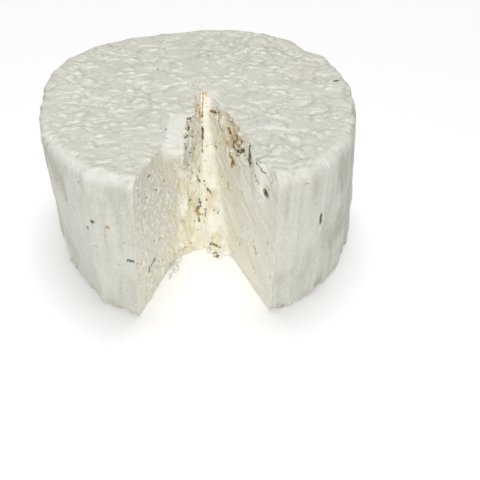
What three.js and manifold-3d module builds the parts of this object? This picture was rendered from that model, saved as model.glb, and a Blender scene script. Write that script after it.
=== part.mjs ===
// A whole drum of white blue-veined cheese with one wedge taken out of it.
// The drum was pressed by hand, so its outline swells and flattens, its rim is round and its
// foot is flat. Two knife cuts meet near the middle, and the tip of the wedge tore off instead
// of being cut, which left a leaning craggy wall between the cuts and a broken shoulder on top.
// Millimetres, +Z up, standing on z = 0, with the middle of its box over the origin.

import * as THREE from 'three';
import { mergeVertices } from 'three/addons/utils/BufferGeometryUtils.js';
import Module from 'manifold-3d';

// Drum
const WHEEL_RADIUS = 101.6;
const WHEEL_HEIGHT = 100.6;
const FOOT_ROUND = 3;

// Slanting facet round the rim: its least width, and where the wrapping pressed it wider
const RIM_WIDTH = 3.2;
const RIM_SWELLS = [
  { at: -112, spread: 50, out: 1.6 },
  { at: -58, spread: 50, out: 2.4 },
  { at: 90, spread: 80, out: 1.2 },
];

// Swells and flats of the outline: where they are, how wide each side, how far they stand out
const TOP_SWELLS = [
  { at: -172, spread: 40, out: -2.5 },
  { at: -128, spread: 50, out: 2 },
  { at: -85, spread: 40, out: -1.5 },
  { at: -45, spread: 45, out: 2 },
  { at: 0, spread: 50, out: -3.5 },
  { at: 60, spread: 50, out: 4 },
  { at: 108, spread: 40, out: -4 },
  { at: 150, spread: 40, out: 2 },
];
const FOOT_SWELLS = [
  { at: -155, spread: 45, out: -8 },
  { at: -85, spread: 40, out: -3.5 },
  { at: 20, spread: 50, out: 4 },
  { at: 62, spread: 50, out: 5 },
  { at: 160, spread: 40, out: 4 },
];

// Surface relief: flats pressed into the side, low waves on the top
const SIDE_RELIEF = { depth: 1.6, across: 15, tall: 70 };
const TOP_RELIEF = { depth: 1.1, across: 20, along: 12 };
const RELIEF_FADE = 7;

// Pinch in the rim at the back, where the wrapping was gathered
const PINCH = { at: 45, spread: 10, depth: 3.6, reach: 30, creaseDepth: 1.3 };

// Wedge: both cuts start at the apex, the wall between them leans back from foot to top
const APEX = { x: 0.6, y: 8.5 };
const LEFT_CUT = { angle: -106.3, footLean: -1.8 };
const RIGHT_CUT = { angle: -64.1, footLean: 0 };
const CREASE_FOOT = { x: 3.7, y: -26 };
const CREASE_LIP = { reach: 9, drop: 15 };
const LEFT_TEAR = { footReach: 50.5, leanPerMm: 0.16, shoulderReach: 33, shoulderFrom: 60 };
const RIGHT_TEAR = { footReach: 46.5, topReach: 6 };
const SHOULDER = { x: -6.5, y: -55, from: 42, to: 96 };
const RIGHT_HOLLOW = { reach: 46, spread: 34, out: -2.6, fadesBelow: 45 };
const RIGHT_SWELL = { reach: 84, spread: 14, out: 3.4, fadesBelow: 45 };
const CUT_RELIEF = { depth: 0.5, across: 9, tall: 26 };
const TEAR_RELIEF = { depth: 1.9, across: 8, tall: 14 };
const WEDGE_OVERLAP = { ends: 5, mouth: 20, rim: 1.2 };

// Ledge on the torn wall by the tip: where it starts and how it climbs outwards, and how far
// the facet above it falls back for each millimetre of height
const LEDGE = { from: 14.8, low: 90.7, climb: 0.55, fallBack: 0.42, nearEnd: [2, 8], farEnd: [17, 28] };

// Skin broken off the shoulder: a flat facet falling towards the notch
const CHIP = { left: -16.5, right: 4, back: -22, front: -66, rise: 0.8, fall: 3.6, height: 14 };

const COLOUR = 0xe0dece;

// Mesh density
const DRUM_CELLS = 32;
const DRUM_ROWS = 15;
const RIM_ROWS = 1;
const FOOT_ROWS = 1;
const WALL_COLUMNS = { cut: 12, tear: 9 };
const WALL_ROWS = 20;

const wasm = await Module();
wasm.setup();

function toRadians(degrees) {
  return degrees * Math.PI / 180;
}

function mix(from, to, share) {
  return from + (to - from) * share;
}

function smoothStep(from, to, value) {
  const share = Math.min(1, Math.max(0, (value - from) / (to - from)));
  return share * share * (3 - 2 * share);
}

// Repeatable value between 0 and 1 for one lattice point
function latticeValue(i, j, k) {
  const wave = Math.sin(i * 127.1 + j * 311.7 + k * 74.7) * 43758.5453;
  return wave - Math.floor(wave);
}

// Smooth noise between -1 and 1: lattice values blended over the cell that holds the point
function smoothNoise(x, y, z) {
  const cell = [x, y, z].map(Math.floor);
  const share = [x, y, z].map((value, axis) => smoothStep(0, 1, value - cell[axis]));
  let sum = 0;
  for (let corner = 0; corner < 8; corner++) {
    const step = [corner & 1, (corner >> 1) & 1, corner >> 2];
    const weight = step.reduce((w, s, axis) => w * (s ? share[axis] : 1 - share[axis]), 1);
    sum += weight * latticeValue(cell[0] + step[0], cell[1] + step[1], cell[2] + step[2]);
  }
  return 2 * sum - 1;
}

// Degrees from one direction to another, between -180 and 180
function turnBetween(angle, from) {
  return ((angle - from + 540) % 360) - 180;
}

// Raised-cosine bump: 1 at its middle, 0 from one spread away
function bump(offset, spread) {
  return Math.abs(offset) < spread ? 0.5 + 0.5 * Math.cos(Math.PI * offset / spread) : 0;
}

function sumOfSwells(angle, swells) {
  return swells.reduce(
    (sum, { at, spread, out }) => sum + out * bump(turnBetween(angle, at), spread),
    0,
  );
}

// Radius of the drum in one direction at one height
function outline(angle, height) {
  const top = sumOfSwells(angle, TOP_SWELLS);
  const foot = sumOfSwells(angle, FOOT_SWELLS);
  return WHEEL_RADIUS + mix(foot, top, height / WHEEL_HEIGHT);
}

// Square to disc, keeping cells even: a square ring becomes a round ring
function squareToDisc(u, v) {
  if (u === 0 && v === 0) {
    return { ring: 0, angle: 0 };
  }
  const wide = Math.abs(u) >= Math.abs(v);
  const turn = wide ? Math.PI / 4 * v / u : Math.PI / 2 - Math.PI / 4 * u / v;
  const reach = wide ? u : v;
  return {
    ring: Math.abs(reach),
    angle: Math.atan2(reach * Math.sin(turn), reach * Math.cos(turn)) * 180 / Math.PI,
  };
}

// Width of the rim's slanting facet in one direction
function rimWidth(angle) {
  return RIM_WIDTH + sumOfSwells(angle, RIM_SWELLS);
}

// Where a point of the box lies on the section of the drum: radius before swells, and height.
// The rim is a straight facet at 45 degrees, and the foot a quarter round.
function sectionPoint(ring, row, rim) {
  const rings = DRUM_CELLS / 2;
  const topRing = (rings - RIM_ROWS) / rings;
  const footRing = (rings - FOOT_ROWS) / rings;
  const rimRow = DRUM_ROWS - RIM_ROWS;
  if (row === DRUM_ROWS && ring < topRing) {
    return { radius: (WHEEL_RADIUS - rim) * ring / topRing, height: WHEEL_HEIGHT };
  }
  if (row >= rimRow) {
    const share = row === DRUM_ROWS ? (ring - topRing) / (1 - topRing) / 2
      : 1 - (row - rimRow) / RIM_ROWS / 2;
    return { radius: WHEEL_RADIUS - rim * (1 - share), height: WHEEL_HEIGHT - rim * share };
  }
  if (row === 0 && ring < footRing) {
    return { radius: (WHEEL_RADIUS - FOOT_ROUND) * ring / footRing, height: 0 };
  }
  if (row <= FOOT_ROWS) {
    const share = row === 0 ? (ring - footRing) / (1 - footRing) / 2 : 0.5 + row / FOOT_ROWS / 2;
    const turn = share * Math.PI / 2;
    const inset = FOOT_ROUND * (1 - Math.sin(turn));
    return { radius: WHEEL_RADIUS - inset, height: FOOT_ROUND * (1 - Math.cos(turn)) };
  }
  const share = (row - FOOT_ROWS) / (rimRow - FOOT_ROWS);
  return { radius: WHEEL_RADIUS, height: mix(FOOT_ROUND, WHEEL_HEIGHT - rim, share) };
}

// Point of the drum's skin for a place on the box: (u, v) across, row up
function drumPoint(u, v, row) {
  const { ring, angle } = squareToDisc(u, v);
  const { radius, height } = sectionPoint(ring, row, rimWidth(angle));
  const facing = toRadians(angle);
  const x = Math.cos(facing);
  const y = Math.sin(facing);
  const sideShare = smoothStep(WHEEL_RADIUS - RELIEF_FADE, WHEEL_RADIUS, radius);
  const topShare = smoothStep(WHEEL_HEIGHT - RELIEF_FADE, WHEEL_HEIGHT, height);
  const across = WHEEL_RADIUS / SIDE_RELIEF.across;
  const side = smoothNoise(x * across, y * across, height / SIDE_RELIEF.tall);
  const pinched = bump(turnBetween(angle, PINCH.at), PINCH.spread);
  const pinch = pinched * smoothStep(WHEEL_HEIGHT - PINCH.reach, WHEEL_HEIGHT, height);
  const reach = radius / WHEEL_RADIUS * outline(angle, height)
    - sideShare * (SIDE_RELIEF.depth * (0.5 + 0.5 * side) + PINCH.depth * pinch);
  const waves = smoothNoise(x * reach / TOP_RELIEF.across, y * reach / TOP_RELIEF.along, 3.5);
  const crease = pinched * smoothStep(WHEEL_RADIUS - PINCH.reach, WHEEL_RADIUS, radius);
  const dip = topShare * (TOP_RELIEF.depth * (0.5 - 0.5 * waves) + PINCH.creaseDepth * crease);
  return new THREE.Vector3(x * reach, y * reach, height - dip);
}

// Closed grid of cells on a box, each corner moved by place(x, y, z) with each from 0 to 1
function shapedBox(columns, depths, rows, place) {
  const box = new THREE.BoxGeometry(1, 1, 1, columns, depths, rows);
  box.deleteAttribute('normal');
  box.deleteAttribute('uv');
  const geometry = mergeVertices(box);
  const points = geometry.attributes.position;
  for (let i = 0; i < points.count; i++) {
    const point = place(points.getX(i) + 0.5, points.getY(i) + 0.5, points.getZ(i) + 0.5);
    points.setXYZ(i, point.x, point.y, point.z);
  }
  return geometry;
}

function toSolid(geometry) {
  const mesh = new wasm.Mesh({
    numProp: 3,
    vertProperties: new Float32Array(geometry.attributes.position.array),
    triVerts: new Uint32Array(geometry.index.array),
  });
  return new wasm.Manifold(mesh);
}

function toGeometry(solid) {
  const mesh = solid.getMesh();
  const geometry = new THREE.BufferGeometry();
  geometry.setAttribute('position', new THREE.BufferAttribute(mesh.vertProperties, 3));
  geometry.setIndex(new THREE.BufferAttribute(mesh.triVerts, 1));
  return geometry;
}

function drum() {
  const place = (x, y, z) => drumPoint(2 * x - 1, 2 * y - 1, Math.round(z * DRUM_ROWS));
  return toSolid(shapedBox(DRUM_CELLS, DRUM_CELLS, DRUM_ROWS, place));
}

// Point on a cut, a distance from the apex at one height; a cut may lean out towards the foot
function onCut({ angle, footLean }, reach, height) {
  const facing = toRadians(angle + footLean * (1 - height / WHEEL_HEIGHT));
  return new THREE.Vector2(APEX.x + reach * Math.cos(facing), APEX.y + reach * Math.sin(facing));
}

// Bottom of the tear at one height: it leans back from the foot, then lies over to the apex
function creaseAt(height) {
  const share = height / WHEEL_HEIGHT;
  const lip = CREASE_LIP.reach * smoothStep(WHEEL_HEIGHT - CREASE_LIP.drop, WHEEL_HEIGHT, height);
  const y = mix(CREASE_FOOT.y, APEX.y - CREASE_LIP.reach, share) + lip;
  return new THREE.Vector2(mix(CREASE_FOOT.x, APEX.x, share), y);
}

// Corners of the notch in plan at one height, from the left rim round the tear to the right rim
function notchCorners(height) {
  const crease = creaseAt(height);
  const leftReach = LEFT_TEAR.footReach - LEFT_TEAR.leanPerMm * height
    + LEFT_TEAR.shoulderReach * smoothStep(LEFT_TEAR.shoulderFrom, WHEEL_HEIGHT, height);
  const leftTear = onCut(LEFT_CUT, leftReach, height);
  const wing = leftTear.clone().lerp(crease, 0.5);
  const shoulder = wing.lerp(SHOULDER, smoothStep(SHOULDER.from, SHOULDER.to, height));
  const rightReach = mix(RIGHT_TEAR.footReach, RIGHT_TEAR.topReach, height / WHEEL_HEIGHT);
  const rightTear = onCut(RIGHT_CUT, rightReach, height);
  const beyondRim = WHEEL_RADIUS * WEDGE_OVERLAP.rim;
  return [
    onCut(LEFT_CUT, beyondRim, height), leftTear, shoulder, crease, rightTear,
    onCut(RIGHT_CUT, beyondRim, height),
  ];
}

// How far a wave of the right cut stands towards the opening, a distance from the apex
function cutWave({ reach, spread, out, fadesBelow }, distance, height) {
  return out * bump(distance - reach, spread) * smoothStep(fadesBelow, WHEEL_HEIGHT, height);
}

// How far the facet above the ledge falls back, a distance from the apex
function ledgeFall(distance, height) {
  const above = Math.max(0, height - LEDGE.low - LEDGE.climb * (distance - LEDGE.from));
  const part = smoothStep(...LEDGE.nearEnd, distance) * (1 - smoothStep(...LEDGE.farEnd, distance));
  return LEDGE.fallBack * above * part;
}

// How far a spot of the notch's wall stands towards the opening. The stretches are the left
// cut, the three sides of the tear and the right cut.
function wallRelief(stretch, spot, height) {
  const cut = stretch === 0 || stretch === 4;
  const relief = cut ? CUT_RELIEF : TEAR_RELIEF;
  const distance = spot.distanceTo(new THREE.Vector2(APEX.x, APEX.y));
  const bumps = relief.depth * smoothNoise(distance / relief.across, 7.3 + stretch, height / relief.tall);
  if (stretch < 3) {
    return bumps;
  }
  const waves = cutWave(RIGHT_HOLLOW, distance, height) + cutWave(RIGHT_SWELL, distance, height);
  return bumps + waves - ledgeFall(distance, height);
}

// The wedge that was taken out, with the torn wall as its inner end
function wedge() {
  const stretches = [WALL_COLUMNS.cut, WALL_COLUMNS.tear, WALL_COLUMNS.tear, WALL_COLUMNS.tear,
    WALL_COLUMNS.cut];
  const columns = stretches.reduce((sum, count) => sum + count, 0);
  const place = (x, y, z) => {
    const height = mix(-WEDGE_OVERLAP.ends, WHEEL_HEIGHT + WEDGE_OVERLAP.ends, z);
    const corners = notchCorners(Math.min(WHEEL_HEIGHT, Math.max(0, height)));
    let column = Math.round(x * columns);
    let stretch = 0;
    while (stretch < stretches.length - 1 && column > stretches[stretch]) {
      column -= stretches[stretch];
      stretch++;
    }
    const share = column / stretches[stretch];
    const start = corners[stretch];
    const end = corners[stretch + 1];
    const onWall = start.clone().lerp(end, share);
    const opening = new THREE.Vector2(end.y - start.y, start.x - end.x).normalize();
    const fade = Math.min(1, 4 * share, 4 * (1 - share));
    onWall.addScaledVector(opening, fade * wallRelief(stretch, onWall, height));
    const mouth = corners[0].clone().lerp(corners[corners.length - 1], x);
    mouth.y -= WEDGE_OVERLAP.mouth;
    const point = onWall.lerp(mouth, 1 - y);
    return new THREE.Vector3(point.x, point.y, height);
  };
  return toSolid(shapedBox(columns, 1, WALL_ROWS, place));
}

// The missing skin: a block whose sloping underside is the chip's facet
function chip() {
  const place = (x, y, z) => {
    const under = WHEEL_HEIGHT - mix(CHIP.rise, CHIP.fall, x);
    return new THREE.Vector3(
      mix(CHIP.left, CHIP.right, x),
      mix(CHIP.front, CHIP.back, y),
      under + z * CHIP.height,
    );
  };
  return toSolid(shapedBox(1, 1, 1, place));
}

function cheeseWheel() {
  const solid = drum().subtract(wedge()).subtract(chip());
  const geometry = toGeometry(solid);
  geometry.computeBoundingBox();
  const middle = geometry.boundingBox.getCenter(new THREE.Vector3());
  geometry.translate(-middle.x, -middle.y, 0);
  const material = new THREE.MeshStandardMaterial({ color: COLOUR, roughness: 0.5, metalness: 0 });
  const mesh = new THREE.Mesh(geometry, material);
  mesh.name = 'cheese_wheel';
  return mesh;
}

const part = new THREE.Group();
part.add(cheeseWheel());

export default part;
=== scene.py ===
import math

import bmesh
import bpy
import numpy as np
from mathutils import Matrix, Vector


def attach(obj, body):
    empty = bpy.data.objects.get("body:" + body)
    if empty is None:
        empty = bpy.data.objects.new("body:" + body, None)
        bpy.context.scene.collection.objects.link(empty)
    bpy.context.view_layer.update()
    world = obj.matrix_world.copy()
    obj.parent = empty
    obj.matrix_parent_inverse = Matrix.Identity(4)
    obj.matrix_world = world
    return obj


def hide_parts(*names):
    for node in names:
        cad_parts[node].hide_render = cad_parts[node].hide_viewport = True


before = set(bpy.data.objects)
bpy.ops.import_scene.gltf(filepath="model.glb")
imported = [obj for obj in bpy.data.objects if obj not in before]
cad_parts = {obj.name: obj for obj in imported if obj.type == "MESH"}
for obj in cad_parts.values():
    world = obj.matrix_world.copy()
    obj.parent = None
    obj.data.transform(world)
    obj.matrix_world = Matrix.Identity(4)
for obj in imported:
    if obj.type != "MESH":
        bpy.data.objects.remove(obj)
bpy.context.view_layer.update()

# The camera looks down into the open wedge from a little right of it, with a mild lens.
# It comes first because every view of the wheel is judged from here.
MM = 0.001
AXIS = np.array([-0.717, -3.209])            # the drum's own axis in the part's frame
CAMERA_PLACE = (27.1, -436.8, 341.3)         # from the foot of that axis
CAMERA_PITCH = math.radians(39.11)
CAMERA_ROLL = math.radians(1.44)
LENS, SENSOR = 60.0, 36.0


def make_camera():
    """Camera from its place, its pitch below level and its roll about the line of sight."""
    data = bpy.data.cameras.new("camera")
    data.lens, data.sensor_width = LENS, SENSOR
    data.clip_start, data.clip_end = 0.01, 20
    camera = bpy.data.objects.new("camera", data)
    forward = Vector((0, math.cos(CAMERA_PITCH), -math.sin(CAMERA_PITCH)))
    level_up = Vector((0, math.sin(CAMERA_PITCH), math.cos(CAMERA_PITCH)))
    level_right = Vector((1, 0, 0))
    right = math.cos(CAMERA_ROLL) * level_right + math.sin(CAMERA_ROLL) * level_up
    up = math.cos(CAMERA_ROLL) * level_up - math.sin(CAMERA_ROLL) * level_right
    turn = Matrix((right, up, -forward)).transposed().to_4x4()
    place = Vector(CAMERA_PLACE) + Vector((AXIS[0], AXIS[1], 0))
    camera.matrix_world = Matrix.Translation(place * MM) @ turn
    bpy.context.scene.collection.objects.link(camera)
    bpy.context.scene.camera = camera


make_camera()

# The wheel is one block of white blue-veined cheese, pressed into a drum by hand and wrapped,
# so its skin is wrinkled. A wedge was cut out with two strokes and its tip tore off inside.
# One closed surface: two discs slit open into the notch, the side, and the notch's two walls.
WHEEL_RADIUS, WHEEL_HEIGHT, FOOT_ROUND = 101.6, 100.6, 3.0
RIM_WIDTH, RIM_SOFT = 3.2, 1.6               # slanting facet round the rim, and how soft its edges are
RIM_SWELLS = ((-112, 50, 1.6), (-58, 50, 2.4), (90, 80, 1.2))
RIM_REACH, RIM_MEET = 9.0, 1.8               # below the top: the rim's first row, and its seam
RIM_BAND = 13.0                              # edge of the top that the side's pleats run on into
TOP_SWELLS = (                               # where in degrees, how wide each side, how far out
    (-172, 40, -2.5), (-128, 50, 2), (-85, 40, -1.5), (-45, 45, 2),
    (0, 50, -3.5), (60, 50, 4), (108, 40, -4), (150, 40, 2),
)
FOOT_SWELLS = ((-155, 45, -8), (-85, 40, -3.5), (20, 50, 4), (62, 50, 5), (160, 40, 4))
FLUTED = ((-15, 60, 0.9), (110, 80, 0.2), (-168, 45, 1.1))   # where the side's pleats are deep
PAINTED_SIDE_SHADE = ((-168, 50, 0.5), (-5, 60, 0.45))   # painted shade on the far sides of the drum, which face away from the front light
PAINTED_RIM_HIGHLIGHT = ((-125, 60, 0.6), (-55, 60, 0.35))  # painted highlight on the front of the rim, which faces the front light
FACETS, FACET_SPREAD = 26, 0.006             # flats round the side, and how far they differ
PLEAT_WIDE, PLEAT_LONG, PLEAT_DEEP = 6.5, 55, 1.5
PLEATED_ALL_ROUND = 0.4                      # share of that depth where the side isn't fluted
DRAG_WIDE, DRAG_LONG, DRAG_DEEP = 2.4, 14, 0.25               # fine lines down the side
FLATS_DEEP, DENTS_DEEP, SKIN_INSET = 0.8, 0.5, 0.3            # the side's other relief
FOOT_RAGGED = 2.4                            # depth of the torn flakes along the foot
LARGE_PILLOWS, SMALL_PILLOWS, TOP_CURDS = (12.0, 10.0), (6.4, 5.6), (5.2, 4.8)   # width by depth
LARGE_DEEP, SMALL_DEEP, CURDS_DEEP, SWAY_DEEP = 1.3, 0.8, 0.9, 0.8               # on the top
TOP_RAISED = 0.25                            # lifts the wrinkled top to its middle height
PINCH_AT, PINCH_SPREAD = 45, 10              # gathered pinch in the back of the rim, in degrees
PINCH_DEPTH, PINCH_REACH, PINCH_CREASE = 3.6, 30.0, 1.3       # into the side, how far, into the top
LUMP_AT, LUMP_WIDE, LUMP_DEEP, LUMP_RISE = (-35.2, -87.9), 7.0, 4.0, 0.9    # on the front of the rim
APEX = np.array([0.6, 8.5])                  # where the two cuts meet
LEFT_CUT, LEFT_CUT_LEAN, RIGHT_CUT = -106.3, -1.8, -64.1      # in degrees
CRACK_END, CRACK_WIDTH, CRACK_DEPTH = np.array([-2.8, 21.3]), 1.9, 1.6      # runs on past the apex
CRACK_RUST = 0.5
CREASE_FOOT = np.array([3.7, -26.0])         # where the bottom of the tear stands on the floor
CREASE_LIP, CREASE_LIP_DROP = 9.0, 15.0      # how far it lies over to the apex, and from how far down
LEFT_TEAR_FOOT, LEFT_TEAR_LEAN = 50.5, 0.16  # where the left cut starts, and how much less per mm up
SHOULDER_REACH, SHOULDER_FROM = 33.0, 60.0   # how much further out it starts from this height up
SHOULDER = np.array([-6.5, -55.0])           # where the tear juts out at its top
SHOULDER_LOW, SHOULDER_HIGH = 42.0, 96.0     # heights between which it comes out
RIGHT_TEAR_FOOT, RIGHT_TEAR_TOP = 46.5, 6.0  # where the right cut starts
TEAR_FADE = 5.0                              # how far the tear fades each way into the cuts
CHIP_LEFT, CHIP_RIGHT, CHIP_BACK, CHIP_FRONT = -16.5, 4.0, -22.0, -66.0     # flat chipped off the top
CHIP_RISE, CHIP_FALL = 0.8, 3.6              # its depth at its left and at its right
LEDGE_FROM, LEDGE_LOW, LEDGE_RISE, LEDGE_SLOPE = 14.8, 90.7, 0.55, 0.42     # below the tip's facet
COLUMN_WIDE, COLUMN_LOW, COLUMN_HIGH = 8.0, 45.0, 92.0        # smooth strip right of the crease
CRAGS_AT, CRAGS_WIDE, CRAGS_HIGH = (44.0, 87.0), 36.0, 21.0   # where the right cut crumbled
LIT_SWELL_AT, LIT_SWELL_WIDE, LIT_SWELL_HIGH = (71.0, 72.0), 20.0, 22.0   # and where it swells, smooth, whitened with painted light
TIP_WHITE_AT, TIP_WHITE_WIDE = (7.5, 3.0), 11.0               # whiter skin beside the notch's tip
FACET_FRESH, COLUMN_FRESH, TIP_FRESH = 0.9, 0.3, 0.8          # how fresh each of these looks
SMOOTHED = 0.7                               # share of the relief that fresh paste loses
CUT_WAVES = ((46, 34, -2.6), (84, 14, 3.4))  # of the right cut: how far along, spread, how far out
WAVES_FROM = 45.0                            # height where they start
SMEAR_SLOPE = -0.38                          # how the right cut's smears sink as they go outwards
RELIEF_FADE, PIT_FADE = 0.04, 0.03           # share of a wall over which they fade at its ends
FOOT_DULL = 0.3                              # how much duller the walls are near the floor
TOP_CELLS, FOOT_CELLS = 184, 48              # across each disc
SIDE_ROWS, WALL_ROWS, WALL_COLUMNS = 40, 112, 132
SEAM = 0.8                                   # width of the strip that sews the walls to the skin
PULL_REACH = 40.0                            # how far from a wall the discs' rows bend to its shape


def step(low, high, value):
    """Smooth rise from 0 at low to 1 at high."""
    share = np.clip((value - low) / (high - low), 0, 1)
    return share * share * (3 - 2 * share)


def bump(offset, spread):
    """Raised cosine: 1 in the middle, 0 from one spread away."""
    return np.where(np.abs(offset) < spread, 0.5 + 0.5 * np.cos(np.pi * offset / spread), 0)


def oval(x, y, at, wide, high):
    """Raised cosine over an oval patch: 1 in its middle, 0 from its edge."""
    return bump(np.hypot((x - at[0]) / wide, (y - at[1]) / high), 1)


def lattice(i, j, k):
    """Repeatable value from 0 to 1 for each lattice point: the fraction of a large sine."""
    wave = np.sin(i * 127.1 + j * 311.7 + k * 74.7) * 43758.5453
    return wave - np.floor(wave)


def noise(x, y, z):
    """Noise from -1 to 1: lattice values blended smoothly over the cell round each point."""
    x, y, z = np.broadcast_arrays(*(np.asarray(a, float) for a in (x, y, z)))
    cells = [np.floor(a) for a in (x, y, z)]
    shares = [step(0, 1, a - c) for a, c in zip((x, y, z), cells)]
    total = np.zeros(x.shape)
    for corner in range(8):
        steps = (corner & 1, (corner >> 1) & 1, corner >> 2)
        weight = np.ones(x.shape)
        for share, one in zip(shares, steps):
            weight = weight * (share if one else 1 - share)
        total += weight * lattice(*(c + s for c, s in zip(cells, steps)))
    return 2 * total - 1


def lumps(x, y, wide, deep, seed, front=1.0, bare=0.0):
    """Height 0 to 1 of pressed curds: one flat-topped dome to each cell of a jittered lattice,
    highest where domes overlap. Below 1, front makes their low-y sides the steeper, and bare
    is the share of cells with none."""
    column, row = np.floor(x / wide), np.floor(y / deep)
    total = np.zeros(np.shape(x))
    for i in (column - 1, column, column + 1):
        for j in (row - 1, row, row + 1):
            off_x = x / wide - i - 0.5 - 0.8 * (lattice(i, j, seed) - 0.5)
            off_y = y / deep - j - 0.5 - 0.8 * (lattice(i, j, seed + 1) - 0.5)
            tall = np.clip((lattice(i, j, seed + 2) - bare) / (1 - bare), 0, 1)
            spread = 0.5 + 0.35 * lattice(i, j, seed + 3)
            lean = 1.2 * (lattice(i, j, seed + 4) - 0.5)
            across, ahead = (off_x + lean * off_y) / spread, off_y - lean * off_x
            ahead = ahead / (spread * np.where(ahead < 0, front, 1))
            total = np.maximum(total, tall * (1 - (across ** 2 + ahead ** 2) ** 1.5))
    return total


def turn_from(angle, at):
    """Degrees round the drum from a direction, -180 to 180."""
    return (np.degrees(angle) - at + 540) % 360 - 180


def swells(angle, rows):
    """Sum of raised cosines round the drum, each row its place, its spread and its size."""
    return sum(out * bump(turn_from(angle, at), spread) for at, spread, out in rows)


def outline(angle, height):
    """Radius of the drum: its middle radius plus the swells of the foot and top, mixed by height."""
    share = height / WHEEL_HEIGHT
    return WHEEL_RADIUS + swells(angle, FOOT_SWELLS) * (1 - share) + swells(angle, TOP_SWELLS) * share


def pinched(angle):
    """How much of the rim's gathered pinch is felt in this direction."""
    return bump(turn_from(angle, PINCH_AT), PINCH_SPREAD)


def facets(angle, height):
    """Depth of the side's flats: the nearest of a ring of upright planes, their edges wavering."""
    waved = angle + 0.03 * noise(4 * np.cos(angle), 4 * np.sin(angle), height / 35)
    pitch = 2 * math.pi / FACETS
    reach = np.full(np.shape(waved), 2.0)
    for on in (-1, 0, 1):
        i = np.floor(waved / pitch) + on
        middle = (i + 0.5 + 0.6 * (lattice(i % FACETS, 3, 5) - 0.5)) * pitch
        far = 1 + FACET_SPREAD * (lattice(i % FACETS, 4, 5) - 0.5)
        reach = np.minimum(reach, far / np.cos(waved - middle))
    return WHEEL_RADIUS * (1 + 2 * FACET_SPREAD - reach)


def flutes(angle, height):
    """Depth of the upright pleats that the wrapping pressed in: creases between uneven ribs, which
    come and go round the drum and down it, and fine drag lines."""
    x, y = np.cos(angle) * WHEEL_RADIUS, np.sin(angle) * WHEEL_RADIUS
    lean = 2.0 * noise(x / 20, y / 20, height / 22)
    away = np.abs(noise((x + lean) / PLEAT_WIDE, (y + lean) / PLEAT_WIDE, height / PLEAT_LONG))
    creases = 1 - np.clip(1.8 * away, 0, 1) ** 0.8
    patch = step(-0.4, 0.5, noise(x / 13, y / 13, height / 20 + 7))
    drag = noise(x / DRAG_WIDE, y / DRAG_WIDE, height / DRAG_LONG)
    strength = PLEATED_ALL_ROUND + swells(angle, FLUTED)
    return strength * (PLEAT_DEEP * patch * creases + DRAG_DEEP * drag)


def skin_depth(angle, height):
    """Depth of the side below its outline: flats, flutes, small dents, ragged foot and the pinch."""
    x, y = np.cos(angle) * WHEEL_RADIUS, np.sin(angle) * WHEEL_RADIUS
    flats = FLATS_DEEP * (0.5 + 0.5 * noise(x / 15, y / 15, height / 50)) + facets(angle, height)
    dents = DENTS_DEEP * noise(x / 5, y / 5, height / 7)
    ragged = step(0, 0.7, noise(x / 4.5, y / 4.5, height / 5)) * (1 - step(1, 10, height))
    pinch = PINCH_DEPTH * pinched(angle) * step(WHEEL_HEIGHT - PINCH_REACH, WHEEL_HEIGHT, height)
    relief = np.clip(flats + flutes(angle, height) + dents + SKIN_INSET, 0, None)
    return relief + FOOT_RAGGED * ragged + pinch


def skin_reach(angle, radius, height):
    """Distance of the skin from the axis: the outline less the skin's depth."""
    return radius / WHEEL_RADIUS * outline(angle, height) - skin_depth(angle, height)


def rim_fall(angle, off):
    """Height lost on the rim's facet at a distance in from the skin, or, as it slants halfway,
    distance lost at a height below the top. Its two edges are softened."""
    left_over = RIM_WIDTH + swells(angle, RIM_SWELLS) - off
    return 0.5 * (left_over + np.sqrt(left_over ** 2 + RIM_SOFT ** 2))


def side_reach(angle, radius, height):
    """Distance of the side from the axis: the skin's, less what the rim's facet takes."""
    return skin_reach(angle, radius, height) - rim_fall(angle, WHEEL_HEIGHT - height)


def side_shade_and_highlight(angle, height):
    """How dark the side is painted, about 0 to 1: painted shade in its creases and hollows and on its far
    sides, which face away from the light, and less under the painted highlight on the front of the rim."""
    rim_highlight = swells(angle, PAINTED_RIM_HIGHLIGHT) * step(WHEEL_HEIGHT - RIM_REACH, WHEEL_HEIGHT - RIM_REACH / 3, height)
    crease_shade = 0.7 * flutes(angle, height) + 0.08 * skin_depth(angle, height)
    return 0.12 + crease_shade + swells(angle, PAINTED_SIDE_SHADE) - rim_highlight


def pillows(x, y, wide, deep, seed):
    """Height 0 to 1 of flat pillows between narrow creases: how far noise is from zero, to a low
    power. Reading it further back where it is high makes the slopes that face the front steep."""
    ahead = y
    for _ in range(2):
        ahead = y + 0.5 * deep * np.clip(2 * np.abs(noise(x / wide, ahead / deep, seed)), 0, 1)
    return np.clip(2 * np.abs(noise(x / wide, ahead / deep, seed)), 0, 1) ** 0.6


def wrinkles(x, y):
    """Depth of the top's wrinkles: creases between pillows of two sizes, deeper in patches, with a
    few curds proud of them, on a slow sway."""
    across = x + 3.5 * noise(x / 11, y / 11, 31.5)
    ahead = y + 3.5 * noise(x / 11, y / 11, 47.5)
    strength = 0.3 + 0.7 * step(-0.5, 0.4, noise(x / 18, y / 15, 3.5))
    large = pillows(across, ahead, *LARGE_PILLOWS, 2.5)
    small = pillows(across, ahead, *SMALL_PILLOWS, 17.5)
    curds = lumps(across, ahead, *TOP_CURDS, 29, front=0.6, bare=0.55)
    sway = 0.5 - 0.5 * noise(x / 24, y / 18, 21.5)
    creases = LARGE_DEEP * (1 - large) + SMALL_DEEP * (1 - small)
    return SWAY_DEEP * sway + strength * creases + CURDS_DEEP * (1 - curds) - TOP_RAISED


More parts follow.
